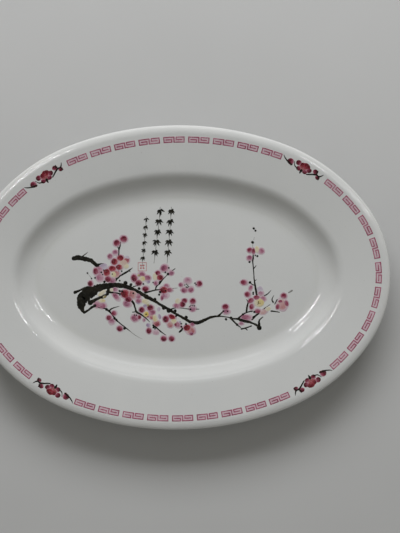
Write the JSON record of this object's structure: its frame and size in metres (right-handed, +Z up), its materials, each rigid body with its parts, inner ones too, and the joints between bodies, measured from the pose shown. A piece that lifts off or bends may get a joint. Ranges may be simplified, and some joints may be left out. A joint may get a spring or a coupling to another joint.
{
  "type": "oval serving platter",
  "caption": "Oval white porcelain serving platter with a wide rim, a flat well, a foot ring, a key-fret border and a plum branch print.",
  "frame": {"origin": "middle of the oval, at the bottom of the foot ring, on the surface that the platter rests on", "axes": "+X along the length, +Y across the width towards the back rim, over which the printed branch's tall twig points, +Z up out of the well"},
  "size_m": [0.305, 0.2176, 0.0242],
  "materials": {
    "bare_porcelain": "matte",
    "clear_glaze": "gloss",
    "carmine_enamel": "satin",
    "crimson_enamel": "satin",
    "pink_enamel": "satin",
    "lilac_enamel": "satin",
    "yellow_enamel": "satin",
    "ink_enamel": "satin",
    "vermilion_enamel": "satin"
  },
  "bodies": {
    "root": {"porcelain_body": "bare_porcelain", "glaze_coat": "clear_glaze", "fret_right": "carmine_enamel", "fret_back": "carmine_enamel", "fret_left": "carmine_enamel", "fret_front": "carmine_enamel", "rim_twig_back_right": "ink_enamel", "rim_twig_back_left": "ink_enamel", "rim_twig_front_left": "ink_enamel", "rim_twig_front_right": "ink_enamel", "rim_blossom_back_right": "crimson_enamel", "rim_blossom_back_left": "crimson_enamel", "rim_blossom_front_left": "crimson_enamel", "rim_blossom_front_right": "crimson_enamel", "branch_trunk": "ink_enamel", "branch_twigs": "ink_enamel", "branch_knots": "ink_enamel", "petals_crimson": "crimson_enamel", "petals_pink": "pink_enamel", "petals_lilac": "lilac_enamel", "flower_hearts": "yellow_enamel", "flower_buds": "crimson_enamel", "leaf_column_right": "ink_enamel", "leaf_column_middle": "ink_enamel", "leaf_column_left": "ink_enamel", "square_emblem": "vermilion_enamel"}
  },
  "joints": []
}
